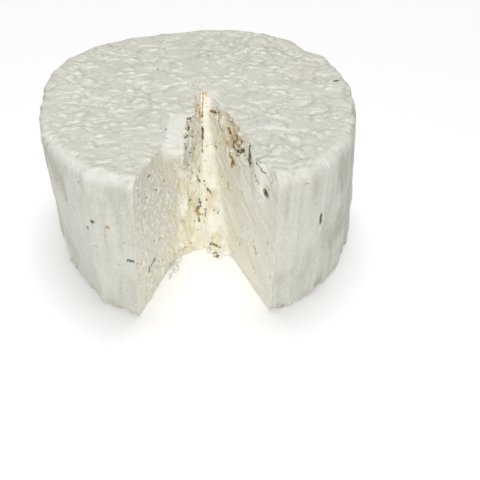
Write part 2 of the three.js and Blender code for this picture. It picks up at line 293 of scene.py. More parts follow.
def top_shade_and_highlight(x, y):
    """How dark the top is painted, about 0 to 1: painted shade where it is deeper than 2 mm away on four
    sides and towards the back, away from the front light, and less under the painted highlight on the front
    of the rim."""
    around = sum(wrinkles(x + off_x, y + off_y) for off_x, off_y in ((2, 0), (-2, 0), (0, 2), (0, -2)))
    depth = wrinkles(x, y)
    angle = np.arctan2(y, x)
    inset = skin_reach(angle, WHEEL_RADIUS, WHEEL_HEIGHT) - np.hypot(x, y)
    rim_highlight = swells(angle, PAINTED_RIM_HIGHLIGHT) * (1 - step(2, 8, inset))
    return 0.25 + 0.1 * depth + 0.9 * (depth - around / 4) + 0.14 * step(10, 90, y) - rim_highlight


def crack_closeness(x, y):
    """1 on the crack that runs on behind the notch's tip, 0 one crack width away from it."""
    run = CRACK_END - APEX
    offset_x, offset_y = x - APEX[0], y - APEX[1]
    share = np.clip((offset_x * run[0] + offset_y * run[1]) / (run @ run), 0, 1)
    away = np.hypot(offset_x - share * run[0], offset_y - share * run[1])
    return np.clip(1 - away / CRACK_WIDTH, 0, 1) * (1 - 0.6 * share)


def top_surface(x, y):
    """Height of the top, and how much of it is freshly chipped."""
    angle = np.arctan2(y, x)
    reach = np.hypot(x, y)
    inset = np.clip(skin_reach(angle, WHEEL_RADIUS, WHEEL_HEIGHT) - reach, 0, None)
    drop = rim_fall(angle, inset)
    share = 1 - step(0.5, 3.5, drop)
    band = 0.3 + 0.7 * step(5, 16, inset)
    pinch = PINCH_CREASE * pinched(angle) * step(WHEEL_RADIUS - PINCH_REACH, WHEEL_RADIUS, reach)
    lump = oval(x, y, LUMP_AT, LUMP_WIDE, LUMP_DEEP)
    pleats = 0.4 * (0.3 + flutes(angle, WHEEL_HEIGHT)) * (1 - step(3, RIM_BAND, inset))
    depth = band * wrinkles(x, y) + pleats
    crack = CRACK_DEPTH * crack_closeness(x, y)
    level = WHEEL_HEIGHT - drop - share * (depth + pinch) - crack + LUMP_RISE * lump * (1 - share)
    across = (x - CHIP_LEFT) / (CHIP_RIGHT - CHIP_LEFT)
    facet = WHEEL_HEIGHT - CHIP_RISE - (CHIP_FALL - CHIP_RISE) * across + 0.15 * noise(x / 3, y / 3, 2.5)
    ragged = 0.8 * noise(x / 3, y / 3, 6.5)
    chipped = step(-0.5, 0.8, x - CHIP_LEFT + ragged) * step(-0.5, 0.8, CHIP_BACK - y + ragged)
    chipped = chipped * step(-0.5, 0.8, y - CHIP_FRONT) * step(-0.5, 0.8, CHIP_RIGHT - x)
    return level + chipped * (np.minimum(facet, level) - level), chipped


def top_height(x, y):
    """Height of the top alone."""
    return top_surface(x, y)[0]


def foot_height(x, y):
    """Height of the foot: on the floor, rounded up at its edge, with a few shallow hollows."""
    inset = skin_reach(np.arctan2(y, x), WHEEL_RADIUS, 0) - np.hypot(x, y)
    inset = np.clip(inset + 1.2 * noise(x / 3, y / 3, 9.5), 0.2 * FOOT_ROUND, None)
    inside = np.clip(FOOT_ROUND - inset, 0, None)
    hollows = 0.8 * step(0.1, 0.9, noise(x / 7, y / 7, 4.5)) * step(2, 8, inset)
    return FOOT_ROUND - np.sqrt(FOOT_ROUND ** 2 - inside ** 2) + hollows


def side_section(rows):
    """Radius and height of each row of the side: half the foot's round, the wall, and closer rows
    up the rim to its seam with the top."""
    foot_rows, rim_rows = rows // 25, rows // 8
    foot_turn = np.linspace(math.pi / 4, math.pi / 2, foot_rows + 1)
    wall = np.linspace(FOOT_ROUND, WHEEL_HEIGHT - RIM_REACH, rows - foot_rows - rim_rows + 1)
    rim = np.linspace(WHEEL_HEIGHT - RIM_REACH, WHEEL_HEIGHT - RIM_MEET, rim_rows + 1)
    foot_radius = WHEEL_RADIUS - FOOT_ROUND * (1 - np.sin(foot_turn))
    radius = np.concatenate([foot_radius, np.full(len(wall) + len(rim) - 2, WHEEL_RADIUS)])
    height = np.concatenate([FOOT_ROUND * (1 - np.cos(foot_turn)), wall[1:], rim[1:]])
    return radius, height


def from_apex(reach, direction):
    """Points at distances from the apex in directions in degrees."""
    turn = np.radians(direction)
    return APEX + np.stack([reach * np.cos(turn), reach * np.sin(turn)], -1)


def on_left_cut(reach, height):
    """Points of the left cut by height: the knife leaned out towards the foot."""
    return from_apex(reach, LEFT_CUT + LEFT_CUT_LEAN * (1 - height / WHEEL_HEIGHT))


def on_right_cut(reach, height):
    """Points of the right cut, the same at every height: this stroke went straight down."""
    return from_apex(reach, np.full(np.shape(height), RIGHT_CUT))


def cut_ends(on_cut, radius, height):
    """Where a cut leaves the drum at each row: the distance is corrected until it meets the skin."""
    reach = np.array(radius, float)
    for _ in range(8):
        point = on_cut(reach, height)
        skin = side_reach(np.arctan2(point[:, 1], point[:, 0]), radius, height)
        reach = reach + skin - np.hypot(point[:, 0], point[:, 1])
    return on_cut(reach, height)


def crease(height):
    """Bottom of the tear: leans back steadily from the foot, then lies over to the apex."""
    share = (height / WHEEL_HEIGHT)[..., None]
    back = APEX - np.array([0, CREASE_LIP])
    lip = step(WHEEL_HEIGHT - CREASE_LIP_DROP, WHEEL_HEIGHT, height)[..., None]
    return CREASE_FOOT + (back - CREASE_FOOT) * share + lip * np.array([0, CREASE_LIP])


def left_corners(height):
    """Crease, shoulder and start of the knife cut on the left, at each height."""
    reach = LEFT_TEAR_FOOT - LEFT_TEAR_LEAN * height
    reach = reach + SHOULDER_REACH * step(SHOULDER_FROM, WHEEL_HEIGHT, height)
    tear, start = on_left_cut(reach, height), crease(height)
    wing = (tear + start) / 2
    pull = step(SHOULDER_LOW, SHOULDER_HIGH, height)[..., None]
    return start, wing + (SHOULDER - wing) * pull, tear


def right_corners(height):
    """Crease, middle of the tear and start of the knife cut on the right, at each height."""
    reach = RIGHT_TEAR_FOOT + (RIGHT_TEAR_TOP - RIGHT_TEAR_FOOT) * height / WHEEL_HEIGHT
    tear, start = on_right_cut(reach, height), crease(height)
    return start, (tear + start) / 2, tear


def along(corners, end, share):
    """Points at a share of the way along crease, shoulder, tear and rim, evenly spaced, and how
    far along they are."""
    stops = [*corners, np.broadcast_to(end, corners[0].shape)]
    lengths = [np.linalg.norm(b - a, axis=-1) for a, b in zip(stops, stops[1:])]
    run = share * sum(lengths)
    left_over = run
    point = np.array(stops[0])
    for a, b, length in zip(stops, stops[1:], lengths):
        part = np.clip(left_over / length, 0, 1)[..., None]
        point = point + (b - a) * part
        left_over = left_over - length
    return point, run


def soften(points, passes):
    """Rounds the corners of each row of points: every inner point moves to its neighbours' mean."""
    points = points.copy()
    for _ in range(passes):
        points[1:-1] = 0.5 * points[1:-1] + 0.25 * (points[:-2] + points[2:])
    return points


def torn_relief(u, v, seed):
    """Relief of torn paste: upright crags of two sizes, pressed curds on them, and fine strands."""
    crags = 1.6 * noise(u / 8, seed, v / 18) + 1.2 * noise(u / 3.4, seed, v / 9)
    curds = 1.1 * lumps(u, v, 3.6, 5.6, seed) + 0.9 * lumps(u, v, 2.2, 2.9, seed + 9)
    return crags + curds + 0.5 * noise(u / 1.6, seed, v / 6) - 0.8


def left_relief(u, v):
    """Relief of the left cut: fine upright drag lines, and patches where curds broke away."""
    drag = 0.4 * noise(u / 6, 7.3, v / 40) + 0.2 * noise(u / 1.8, 7.3, v / 9)
    broken = step(-0.5, 0.4, noise(u / 10, 2.4, v / 17))
    curds = 1.4 * lumps(u, v, 3.0, 3.2, 41, bare=0.35) - 0.4
    return drag + broken * curds + 0.15 * noise(u / 1.5, 5.2, v / 1.7)


def right_relief(u, v):
    """Relief of the right cut: smears that sink outwards, and curds near its upper edge."""
    across = v - SMEAR_SLOPE * u
    smears = 0.65 * noise(u / 24, 3.1, across / 4.2) + 0.35 * noise(u / 13, 6.4, across / 2.0)
    broken = step(-0.1, 0.5, noise(u / 12, 8.2, v / 12) + 0.5 * step(60, 95, v) - 0.2)
    curds = 1.0 * lumps(u, v, 2.9, 3.1, 63) - 0.45
    return smears + broken * curds + 0.12 * noise(u / 1.5, 1.2, v / 1.6)


def above_ledge(distance, height):
    """The smooth facet over the ledge by the tip: height above the ledge, and the facet's share."""
    above = height - LEDGE_LOW - LEDGE_RISE * (distance - LEDGE_FROM)
    part = step(0, 1.5, above) * step(2, 8, distance) * (1 - step(17, 28, distance))
    return np.clip(above, 0, None) * part, part


def right_forms(distance, height, run):
    """The right wall's own forms: how fresh its facet and column are, how much painted light whitens its
    swell, and how far the facet and the waves of the cut stand out towards the opening."""
    above, facet = above_ledge(distance, height)
    column = 1 - step(COLUMN_WIDE - 2, COLUMN_WIDE + 2, run)
    column = column * step(COLUMN_LOW - 8, COLUMN_LOW + 8, height) * (1 - step(COLUMN_HIGH, 99, height))
    lit_swell = step(0, 0.5, oval(distance, height, LIT_SWELL_AT, LIT_SWELL_WIDE, LIT_SWELL_HIGH))
    # The swell's whitening is painted light: a patch facing the front light, drawn lit in its colour.
    fresh_and_lit = np.maximum(np.maximum(FACET_FRESH * facet, COLUMN_FRESH * column), lit_swell)
    waves = sum(out * bump(distance - at, spread) for at, spread, out in CUT_WAVES)
    return fresh_and_lit, waves * step(WAVES_FROM, WHEEL_HEIGHT, height) - LEDGE_SLOPE * above


# Veins, specks and holes, each: kind, place, run from there, radius, strength and depth in mm.
# On a wall the place is a distance along it from the crease and a height, on the top x and y
# from the axis, and on the side a direction in degrees and a height.
MARKS = {
    "top": (
        ("rust", -75.6, 23.8, 1, 0, 1.7, 0.8, 0), ("rust", -39.4, 3.4, 0, 0, 1.7, 0.8, 0),
        ("rust", -11.2, 83.5, 0, 0, 1.8, 0.6, 0), ("rust", 13.5, 71.5, 0, 0, 2.0, 0.8, 0),
        ("rust", 6.8, 67.3, 0, 0, 1.6, 0.6, 0), ("rust", 35, 60.6, 0, 0, 1.8, 0.8, 0),
        ("mould", 85, 23.6, 1.5, 0, 1.9, 1.0, 0), ("rust", 71.6, 28.3, 2, 0, 1.7, 0.7, 0),
        ("rust", 78.2, 16, 0, 0, 1.5, 0.7, 0), ("rust", 71.8, -5.8, 7.7, -3.3, 1.3, 0.5, 0),
        ("rust", -11, 51, 0, 0, 1.6, 0.5, 0), ("rust", 61.9, 51, 0, 0, 1.6, 0.5, 0),
        ("mould", -17.5, -40, 0, 0, 1.6, 0.9, 0), ("mould", -21, -39.5, 0, 0, 1.3, 0.6, 0),
        ("mould", -2.6, -24.5, 0, -1, 2.0, 1.0, 1), ("mould", -3.6, -32, 0, 0, 1.6, 0.9, 0.5),
        ("rust", -3.0, -28, -1, -9, 1.4, 0.8, 0), ("mould", -4.8, -42, 0, -1, 1.5, 0.8, 0),
        ("rust", -1.6, -2, -0.4, -8, 1.3, 0.75, 0), ("rust", -3, -12, 0, -1, 1.5, 0.7, 0),
        ("mould", 34.8, -69, 0.6, -5, 1.4, 0.75, 0), ("rust", 35.6, -66, 0, 0, 1.5, 0.8, 0),
        ("rust", 30, -48, 0, 0, 1.8, 0.6, 0),
    ),
    "side": (
        ("mould", 236.3, 64.5, 0.6, 0, 1.6, 1.0, 0.6), ("mould", 233, 56.7, 0.6, 0, 1.8, 1.0, 0.6),
        ("mould", 234.6, 61.5, 0, 0, 1.2, 0.6, 0), ("rust", 242, 65, 1, 0, 1.6, 0.7, 0),
        ("rust", 241, 58.6, 0, 0, 1.6, 0.7, 0), ("rust", 248.1, 56.6, 0, 0, 1.4, 0.6, 0),
        ("rust", 247, 53, 0, 0, 2.2, 0.4, 0), ("mould", 248.9, 45.6, 2.0, 0, 2.8, 0.85, 0.6),
        ("mould", 248.4, 44, 0, 0, 1.6, 1.0, 0), ("mould", 245.7, 40, 0, 0, 1.8, 0.6, 0),
        ("mould", 236.1, 48, 1, 0, 2.2, 0.5, 0), ("rust", 221.1, 94, 1.5, -2, 2.4, 0.5, 0),
        ("mould", 231.8, 91, 0.5, -3, 1.8, 0.6, 0.4), ("mould", 221.7, 65.3, 0, 3, 1.6, 0.6, 0),
        ("mould", 216, 74.6, 0, 3, 1.8, 0.7, 0), ("mould", 220, 90, 0, -3, 1.8, 0.55, 0),
        ("mould", -43.2, 62, 0, -4, 2.2, 1.0, 1.4), ("rust", -43.6, 66, 0, 0, 2.0, 0.5, 0),
        ("rust", -52.5, 92.1, 1.5, 0, 1.8, 0.65, 0), ("rust", -58.8, 89.9, 0, -2, 1.6, 0.5, 0),
        ("mould", -36, 68, 0, 0, 1.5, 0.6, 0), ("rust", -37, 56, 0, -2, 1.5, 0.6, 0),
        ("rust", -35, 51.9, 0, 0, 1.8, 0.6, 0), ("mould", -24.9, 43, 0, -2, 1.6, 0.75, 0.5),
        ("mould", -31, 78, 0, -2, 1.8, 0.45, 0),
    ),
    "left": (
        ("rust", 6, 97, -4, -6, 1.5, 0.8, 0.5), ("rust", 2, 90, 0, -6, 1.4, 0.7, 0.5),
        ("mould", 31, 98, 3, -1, 2.4, 1.0, 1.2), ("mould", 35, 97, 5, 0, 2.2, 0.7, 0.6),
        ("mould", 40, 97, 5, -1, 2.0, 0.9, 0.6), ("mould", 36, 96, 18, 0, 4.5, 0.42, 0),
        ("rust", 42, 96, 12, 1, 3.2, 0.5, 0), ("mould", 47, 96, 2, 0, 1.7, 0.9, 0.6),
        ("mould", 53, 95, 2, -1, 1.7, 0.9, 0.6), ("mould", 43, 90, 2, -5, 1.7, 0.75, 0.8),
        ("mould", 22, 86, 0, -5, 1.6, 0.6, 0.6), ("rust", 24, 90, 1, -7, 1.5, 0.6, 0.8),
        ("mould", 5, 58, -2, -5, 1.3, 0.9, 0.6), ("mould", 9, 55, -3, -4, 2.4, 0.7, 0.5),
        ("mould", 4, 49, -2, -2, 1.5, 1.0, 0.6), ("mould", 12, 51, 1, 0, 1.6, 0.6, 0),
        ("rust", 7, 53, 1, -3, 1.6, 0.6, 0), ("mould", 2, 33, 0, -4, 1.7, 0.9, 0.5),
        ("rust", 3, 29, 1, -3, 2.5, 1.0, 0.8), ("rust", 4, 26, 0, -3, 1.8, 0.8, 0),
        ("mould", 4, 23, 0, -3, 1.7, 0.8, 0.4), ("mould", 3, 27, 1, -9, 3.5, 0.35, 0),
        ("mould", 5, 15, 0, 0, 1.5, 0.8, 0.4), ("rust", 14, 6, 3, 0, 1.8, 0.6, 0),
        ("mould", 16, 4, 0, 0, 1.6, 0.7, 0), ("rust", 23, 5, 2, 1, 1.8, 0.6, 0),
        ("mould", 72, 72.5, 1, 1, 2.0, 1.0, 2.0), ("mould", 54, 26, 10, -2, 3.2, 0.5, 0),
        ("mould", 57, 25, 5, -1, 1.7, 0.8, 0.5), ("mould", 64, 23.5, 1, -1, 1.9, 1.0, 1.0),
        ("rust", 48, 33, 2, 1, 1.8, 0.6, 0.6), ("rust", 58, 38, 1, 1, 1.7, 0.6, 0.6),
        ("rust", 33, 36, -6, 3, 1.3, 0.6, 0), ("rust", 56, 88, 0, -4, 1.6, 0.45, 0),
        ("rust", 40, 74, -4, -6, 3.5, 0.3, 0), ("rust", 62, 80, 2, -8, 3.0, 0.3, 0),
    ),
    "right": (
        ("rust", 2, 99, 1, -8, 4.0, 0.42, 0.4), ("rust", 0.5, 98, 0, -7, 1.4, 0.7, 0.5),
        ("rust", 1, 90, 0, -3, 1.5, 0.9, 0.5), ("mould", 1, 84, 0, -1, 1.4, 0.8, 1.0),
        ("rust", 1, 80, 0, -7, 1.5, 1.0, 0.8), ("rust", 0, 71, 0, -6, 1.3, 0.7, 0.5),
        ("rust", 8, 91, 14, 5, 1.8, 1.0, 0.5), ("rust", 9, 89, 12, 4, 2.4, 0.4, 0),
        ("mould", 20, 91, 0, -3, 2.4, 1.1, 1.4), ("mould", 23, 88, 1, -2, 2.2, 0.8, 0.4),
        ("rust", 12.5, 74, 0, 0, 1.7, 0.75, 0), ("rust", 11.5, 71, 2, 0, 1.8, 0.85, 0),
        ("rust", 3, 69, 7, -1, 1.3, 0.55, 0), ("rust", 7, 84, 0, 0, 1.5, 0.5, 0),
        ("rust", 31, 91, 1, -8, 2.2, 1.0, 0.8), ("mould", 32, 87, 0, -5, 1.6, 0.8, 0),
        ("rust", 26, 82, 2, -3, 1.8, 0.7, 0), ("rust", 40, 91, 6, 1, 2.4, 1.0, 0.8),
        ("rust", 52, 94, 1, -3, 2.6, 1.0, 0.8), ("mould", 37, 86, 1, -4, 2.6, 0.95, 1.0),
        ("rust", 38, 87, 9, 2, 2.3, 1.0, 0.6), ("mould", 45, 84, 9, 6, 2.6, 1.15, 1.6),
        ("rust", 42, 82, 6, 2, 2.6, 1.0, 0.6), ("rust", 36, 87, 16, 4, 5.0, 0.35, 0),
        ("rust", 31, 75, 6, -2, 2.8, 1.15, 0.8), ("rust", 34, 74, -1, -5, 2.2, 1.0, 0.8),
        ("mould", 66, 97, -4, -11, 3.8, 1.2, 2.0), ("rust", 66, 99, -1, -3, 1.8, 0.6, 0),
        ("mould", 84, 98, 5, -4, 1.6, 0.8, 0.5), ("mould", 80, 95, 8, -8, 4.0, 0.35, 0),
        ("rust", 80, 87, 1, -2, 1.7, 0.7, 0), ("rust", 15, 53, 0, 0, 2.0, 0.65, 0),
        ("rust", 25.5, 55, -1, -5, 1.7, 0.75, 0), ("rust", 27, 50, 0, 0, 1.8, 0.7, 0),
        ("mould", 32, 44, 0, -1, 1.4, 0.6, 0), ("mould", 84, 82.5, 1, -2, 3.2, 1.15, 2.0),
        ("mould", 79, 77.5, 2, 0, 3.5, 0.42, 0), ("rust", 87, 87, 3, -1, 1.4, 0.6, 0),
        ("rust", 62, 34, 2, -3, 2.3, 0.65, 0), ("rust", 60, 37, 1, -1, 1.6, 0.55, 0),
        ("mould", 0.5, 46, 1, -3, 1.5, 0.8, 0.4), ("mould", 3, 41, 2, -4, 1.9, 0.85, 0.5),
        ("mould", 1, 27, 0, -5, 2.0, 0.6, 0.3), ("rust", 5, 5, 6, -2, 1.7, 0.9, 0.5),
        ("mould", 4, 4, 3, 0, 1.5, 0.95, 0.4), ("rust", 5, 51, 0, 0, 1.5, 0.55, 0),
        ("rust", 47, 62, 2, -2, 1.5, 0.5, 0), ("rust", 70, 66, 0, 0, 1.6, 0.5, 0),
    ),
    "foot": (),
}
SCATTERED = {                                # how many more, between which corners
    "top": ((10, (-90, -30), (90, 85)),), "side": ((60, (-18, 6), (212, 96)),),
    "left": ((26, (6, 4), (95, 97)), (44, (1, 62), (48, 97)), (24, (0, 6), (16, 60))),
    "right": ((30, (6, 4), (95, 97)), (36, (6, 72), (58, 97)), (22, (0, 6), (24, 66))),
    "foot": ((50, (-90, -90), (90, 90)),),
}
RUST_SHARE = 0.65                            # of the scattered marks; the rest are mould


def scattered_marks(name):
    """Small seeded marks between pairs of corners: some rust, some mould, each a short run."""
    rows = []
    for count, low, high in SCATTERED[name]:
        draw = np.random.default_rng(len(name) + count)
        place = draw.uniform(low, high, (count, 2))
        run = draw.normal(0, 0.7, (count, 2))
        radius, strength = draw.uniform(1.0, 1.8, count), draw.uniform(0.35, 0.85, count)
        kinds = np.where(draw.random(count) < RUST_SHARE, "rust", "mould")
        rows += [(kind, *at, *by, wide, strong, 0.3 * strong)
                 for kind, at, by, wide, strong in zip(kinds, place, run, radius, strength)]
    return rows


def marked(name, u, v, points):
    """Closeness to the nearest mould and rust mark, 1 on its line to 0 at its radius, and the
    pits' depth. Both ends of the line are the mesh points nearest their places."""
    found = {"mould": np.zeros(u.shape), "rust": np.zeros(u.shape)}
    pits = np.zeros(u.shape)
    for kind, at_u, at_v, run_u, run_v, radius, strength, depth in (*MARKS[name], *scattered_marks(name)):
        start = np.argmin((u - at_u) ** 2 + (v - at_v) ** 2)
        finish = np.argmin((u - at_u - run_u) ** 2 + (v - at_v - run_v) ** 2)
        start, finish = points.reshape(-1, 3)[[start, finish]]
        line = finish - start
        share = np.clip((points - start) @ line / max(line @ line, 1e-6), 0, 1)[..., None]
        away = np.linalg.norm(points - start - share * line, axis=-1)
        near = np.clip(1 - away / radius, 0, 1)
        found[kind] = np.maximum(found[kind], strength * near)
        pits = np.maximum(pits, depth * near)
    return found["mould"], found["rust"], pits


def wall_levels(plan, rise):
    """Heights of a wall's points, each row a share of the way from the foot's surface to the top's."""
    top = top_height(plan[:, -1, 0], plan[:, -1, 1])[:, None]
    foot = foot_height(plan[:, 0, 0], plan[:, 0, 1])[:, None]
    return foot + (top - foot) * rise


def towards_opening(line, toward):
    """Level unit vectors square to a wall's line of points; toward is 1 or -1, by the wall's side."""
    tangent = np.gradient(line, axis=0)
    facing = toward * np.stack([tangent[..., 1], -tangent[..., 0]], -1)
    return facing / np.linalg.norm(facing, axis=-1, keepdims=True)


def notch_wall(side):
    """One wall's points, crease to rim by foot to top, and its named point values."""
    on_cut, corners_at, toward, relief_at, seed, passes = {
        "left": (on_left_cut, left_corners, -1, left_relief, 23, 12),
        "right": (on_right_cut, right_corners, 1, right_relief, 31, 36),
    }[side]
    radius, height = side_section(WALL_ROWS)
    ends = cut_ends(on_cut, radius, height)
    share = np.linspace(0, 1, WALL_COLUMNS + 1)[:, None] * np.ones(WALL_ROWS + 1)
    rise = (height - height[0]) / (height[-1] - height[0])
    level = np.broadcast_to(WHEEL_HEIGHT * rise, share.shape)
    for _ in range(3):
        plan, run = along(corners_at(level), ends, share)
        plan = soften(plan, passes)
        level = wall_levels(plan, rise)
    facing = towards_opening(plan, toward)
    distance = np.linalg.norm(plan - APEX, axis=-1)
    past_tear = distance - np.linalg.norm(corners_at(level)[2] - APEX, axis=-1)
    torn = 1 - step(-TEAR_FADE, TEAR_FADE, past_tear)
    fresh_and_lit, forms = np.zeros(share.shape), 0
    if side == "right":
        torn = np.maximum(torn, step(0, 0.5, oval(distance, level, CRAGS_AT, CRAGS_WIDE, CRAGS_HIGH)))
        fresh_and_lit, forms = right_forms(distance, level, run)
    relief = torn * torn_relief(distance, level, seed) + (1 - torn) * relief_at(distance, level)
    relief = relief * (1 - SMOOTHED * fresh_and_lit) + forms
    relief = relief * step(0, RELIEF_FADE, share) * step(0, RELIEF_FADE, 1 - share)
    plan = plan + facing * relief[..., None]
    mould, rust, pits = marked(side, run, level, np.concatenate([plan, level[..., None]], -1))
    plan = plan - facing * (pits * step(0, PIT_FADE, 1 - share))[..., None]
    level = wall_levels(plan, rise)
    dull = 0.5 - relief / 2 + FOOT_DULL * (1 - step(5, 50, level))
    looks = {"depth": dull, "torn": torn, "fresh_and_lit": fresh_and_lit, "mould": mould, "rust": rust}
    return np.concatenate([plan, level[..., None]], -1), looks


def round_side():
    """The side's points, right cut to left cut by foot to top, and its named point values. Its last
    rows are drawn to the surfaces of the top and the foot."""
    radius, height = side_section(SIDE_ROWS)
    right_end, left_end = cut_ends(on_right_cut, radius, height), cut_ends(on_left_cut, radius, height)
    start = np.arctan2(right_end[:, 1], right_end[:, 0]) + SEAM / WHEEL_RADIUS
    finish = np.arctan2(left_end[:, 1], left_end[:, 0]) + 2 * math.pi - SEAM / WHEEL_RADIUS
    angle = start + np.linspace(0, 1, 4 * TOP_CELLS + 1)[:, None] * (finish - start)
    heights = np.broadcast_to(height, angle.shape)
    reach = side_reach(angle, radius, height)
    side = np.stack([reach * np.cos(angle), reach * np.sin(angle), heights], -1)
    mould, rust, pits = marked("side", np.degrees(angle), heights, side)
    side[..., :2] *= (1 - pits / reach)[..., None]
    top_edge = top_height(side[:, -1, 0], side[:, -1, 1])
    foot_edge = foot_height(side[:, 0, 0], side[:, 0, 1])
    near_top = step(WHEEL_HEIGHT - RIM_REACH, height[-1], height)
    near_foot = step(FOOT_ROUND, height[0], height)
    side[..., 2] += near_top * (top_edge - height[-1])[:, None]
    side[..., 2] += near_foot * (foot_edge - height[0])[:, None]
    # The side's depth value is painted shade in its creases and on its far sides, and a painted highlight on
    # the front of the rim.
    return side, {"depth": side_shade_and_highlight(angle, height), "mould": mould, "rust": rust}


def set_back(line, toward, count):
    """Every few points of a wall's edge, moved away from the opening by the seam's width."""
    picked = np.linspace(0, len(line) - 1, count + 1).round().astype(int)
    return (line - SEAM * towards_opening(line, toward))[picked]


def disc_grid(cells):
    """Ring and turn, each 0 to 1, of an even square grid bent into a disc slit along its front."""
    line = np.linspace(-1, 1, cells + 1)
    u, v = np.meshgrid(line, line, indexing="ij")
    wide = np.abs(u) >= np.abs(v)
    reach = np.where(wide, u, v)
    safe = np.where(reach == 0, 1, reach)
    turn = np.where(wide, math.pi / 4 * v / safe, math.pi / 2 - math.pi / 4 * u / safe)
    angle = np.arctan2(reach * np.sin(turn), reach * np.cos(turn))
    ring, turn = np.abs(reach), (angle / (2 * math.pi) + 0.25) % 1
    slit = np.linspace(1, 0, cells // 2 + 1)[:-1]
    return np.concatenate([ring.ravel(), slit]), np.concatenate([turn.ravel(), np.ones(len(slit))])


def disc_points(cells, rim, left, right, height_at):
    """A disc opened into the notch: rays from the apex to the rim, drawn to both walls nearby."""
    ring, turn = disc_grid(cells)
    place = turn * (len(rim) - 1)
    low = np.clip(np.floor(place).astype(int), 0, len(rim) - 2)
    part = (place - low)[:, None]
    edge = rim[low] * (1 - part) + rim[low + 1] * part
    apex = left[0]
    plan = apex + ring[:, None] * (edge - apex)
    index = np.rint(ring * (cells // 2)).astype(int)
    rays = np.linspace(0, 1, cells // 2 + 1)[:, None]
    for wall, end, near in ((left, rim[-1], 1 - turn), (right, rim[0], turn)):
        shift = wall - (apex + rays * (end - apex))
        distance = ring * near * 2 * math.pi * WHEEL_RADIUS
        pull = (1 - np.clip(distance / PULL_REACH, 0, 1)) ** 2 * (1 - near)
        plan = plan + pull[:, None] * shift[index]
    return np.concatenate([plan, height_at(plan[:, 0], plan[:, 1])[:, None]], -1)


def end_disc(cells, row, height_at, side, left, right):
    """Points of the top or the foot: a disc within the side's last or first row. The top shares its
    row with the side, and the foot's rim is set in from it by a seam's width."""
    rim = side[:, row, :2] if row else side[:, row, :2] * (1 - SEAM / WHEEL_RADIUS)
    edges = [set_back(wall[:, row, :2], toward, cells // 2) for wall, toward in ((left, -1), (right, 1))]
    for edge, end in zip(edges, (rim[-1], rim[0])):
        edge[0] = left[0, row, :2] + np.array([0, SEAM])
        edge[-1] = end
    return disc_points(cells, rim, *edges, height_at)


def sink_marks(top):
    """Sinks the pits of the marks into the top's points, and gives its named point values."""
    x, y = top[:, 0], top[:, 1]
    mould, rust, pits = marked("top", x, y, top)
    top[:, 2] -= pits
    by_tip = oval(x, y, TIP_WHITE_AT, TIP_WHITE_WIDE, TIP_WHITE_WIDE)
    fresh_and_lit = np.maximum(top_surface(x, y)[1], TIP_FRESH * by_tip)
    rust = np.maximum(rust, CRACK_RUST * crack_closeness(x, y))
    # The top's depth value is painted shade in its wrinkles and towards the back, and a painted highlight on
    # the front of the rim.
    return {"depth": top_shade_and_highlight(x, y), "fresh_and_lit": fresh_and_lit, "mould": mould, "rust": rust}


def quads(numbers):
    """Pairs of triangles between neighbouring rows and columns of a grid of vertex numbers."""
    a, b, c, d = numbers[:-1, :-1], numbers[1:, :-1], numbers[1:, 1:], numbers[:-1, 1:]
    return np.stack([a, b, c, a, c, d], -1).reshape(-1, 3)


def zipped(a, a_at, b, b_at):
    """Triangles between two rows of vertices: each step goes on along the row that lags."""
    middles = np.concatenate([a_at[1:] + a_at[:-1], b_at[1:] + b_at[:-1]])
    on_b = np.argsort(middles, kind="stable") >= len(a) - 1
    i, j = np.cumsum(~on_b) - ~on_b, np.cumsum(on_b) - on_b
    third = np.where(on_b, b[np.minimum(j + 1, len(b) - 1)], a[np.minimum(i + 1, len(a) - 1)])
    return np.stack([a[i], b[j], third], -1)


def disc_numbers(first, cells):
    """Vertex numbers of a slit disc: its faces, its slit's left and right edges, and its rim."""
    half = cells // 2
    right = first + np.arange((cells + 1) ** 2).reshape(cells + 1, cells + 1)
    left = right.copy()
    left[half, :half] = first + (cells + 1) ** 2 + np.arange(half)
    faces = np.concatenate([quads(left[:half + 1]), quads(right[half:])])
    rim = np.concatenate([
        right[half:, 0], right[-1, 1:], right[-2::-1, -1], right[0, -2::-1], right[1:half, 0],
        left[half:half + 1, 0],
    ])
    return faces, left[half, half::-1], right[half, half::-1], rim


def sewn(wall, top_slit, side_edge, foot_slit):
    """The strip between a wall and the skin, from the crease out along the top, down the side and
    back along the foot. The foot's rim is a row of its own, so its slit starts a little later."""
    fine = np.concatenate([wall[:, -1], wall[-1, -2::-1], wall[-2::-1, 0]])
    fine_at = np.concatenate([np.linspace(0, 1, len(wall)), np.linspace(1, 2, wall.shape[1])[1:],
                              np.linspace(2, 3, len(wall))[1:]])
    coarse = np.concatenate([top_slit, side_edge[-2::-1], foot_slit[::-1]])
    coarse_at = np.concatenate([np.linspace(0, 1, len(top_slit)), np.linspace(1, 2, len(side_edge))[1:],
                                np.linspace(2.01, 3, len(foot_slit))])
    return zipped(fine, fine_at, coarse, coarse_at)


